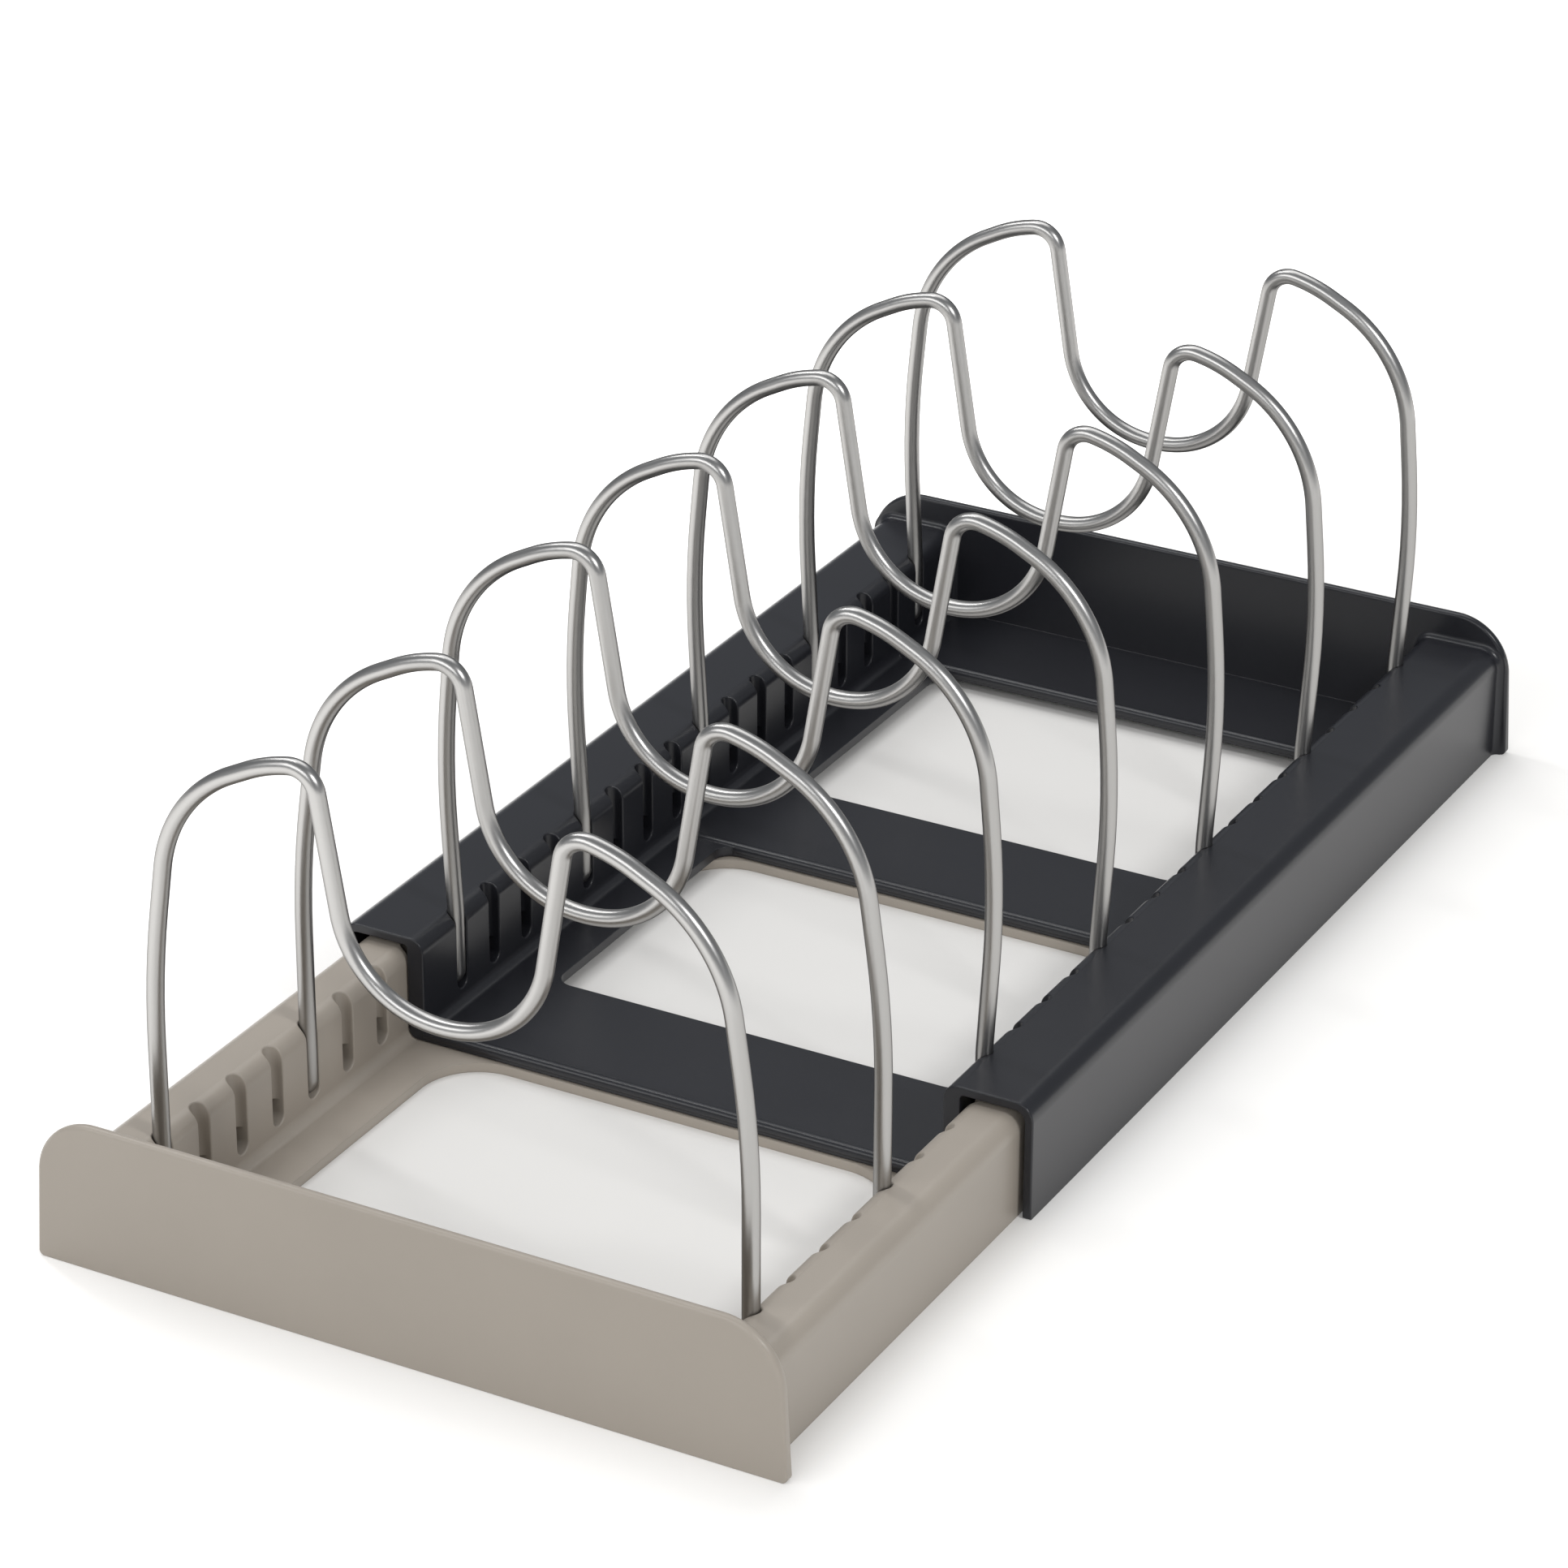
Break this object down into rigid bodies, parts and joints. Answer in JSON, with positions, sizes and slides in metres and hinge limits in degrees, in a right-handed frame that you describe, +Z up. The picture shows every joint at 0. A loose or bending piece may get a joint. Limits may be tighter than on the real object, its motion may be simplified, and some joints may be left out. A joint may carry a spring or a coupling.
{
  "type": "pot lid rack",
  "caption": "Expanding pot lid rack: two plastic trays that telescope, with bent steel wire dividers standing in slots along their side rails.",
  "frame": {"origin": "centre of the footprint at floor level, with the rack pulled out as far as the picture shows", "axes": "+X to the right seen from the front tray's end, +Y along the rack from the front tray to the rear tray, +Z up"},
  "size_m": [0.244, 0.51, 0.1704],
  "materials": {
    "taupe_plastic": "warm grey moulded plastic, matt with a soft sheen",
    "charcoal_plastic": "blue-black moulded plastic, satin",
    "satin_steel": "satin steel wire"
  },
  "bodies": {
    "rear_half": {"outer_tray": "charcoal_plastic", "divider_3": "satin_steel", "divider_4": "satin_steel", "divider_5": "satin_steel", "divider_6": "satin_steel", "divider_7": "satin_steel"},
    "front_half": {"inner_tray": "taupe_plastic", "divider_1": "satin_steel", "divider_2": "satin_steel"}
  },
  "joints": [
    {"name": "pull_out", "type": "slide", "parent": "rear_half", "child": "front_half", "axis": [0, -1, 0], "range_m": [-0.048, 0.065]}
  ]
}
